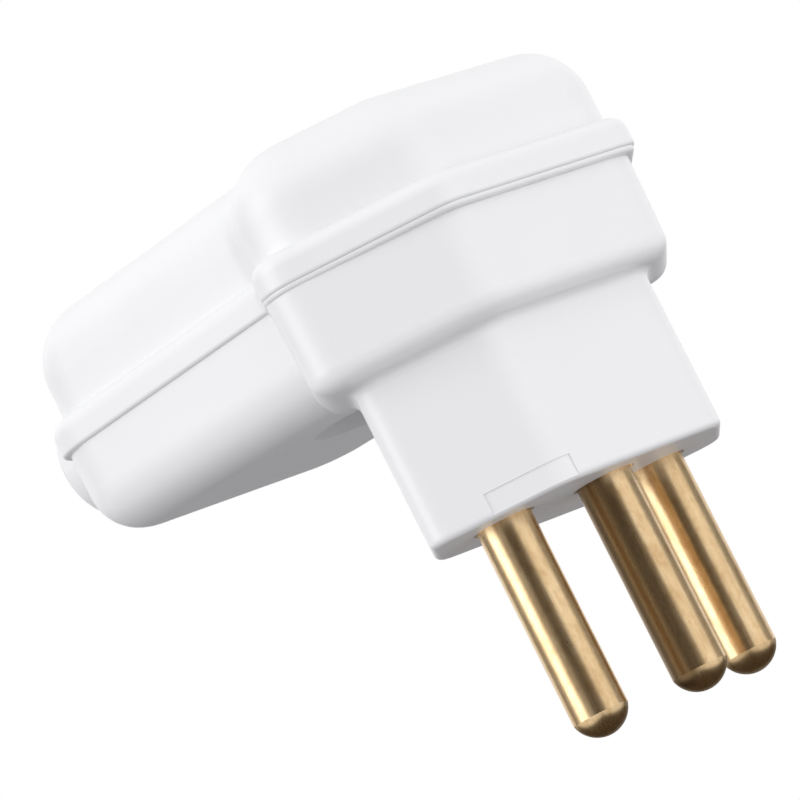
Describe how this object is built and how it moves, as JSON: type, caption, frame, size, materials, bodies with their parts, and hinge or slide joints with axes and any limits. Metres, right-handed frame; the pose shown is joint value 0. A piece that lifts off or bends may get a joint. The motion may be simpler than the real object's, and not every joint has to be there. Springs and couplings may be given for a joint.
{
  "type": "right-angle three-pin plug",
  "caption": "White right-angle mains plug: round brass pins on a six-sided block, a two-part housing with a proud rim, and a round cord nozzle at the end of its tail.",
  "frame": {"origin": "centre of the plug face, midway between the two outer pins", "axes": "+X along the row of outer pins, +Y along the tail towards the cord, +Z away from the socket; the pins point along -Z"},
  "size_m": [0.0432, 0.0614, 0.0541],
  "materials": {
    "housing": "semi-gloss white",
    "pins": "polished",
    "bush": "plain",
    "screws": "zinc plated",
    "clamp": "matt white"
  },
  "bodies": {
    "root": {"base_housing": "housing", "cover_housing": "housing", "live_pin": "pins", "neutral_pin": "pins", "earth_pin": "pins", "terminal_screws": "screws", "housing_screw": "screws", "housing_insert": "bush", "cord_clamp": "clamp", "cord_clamp_screws": "screws"}
  },
  "joints": []
}
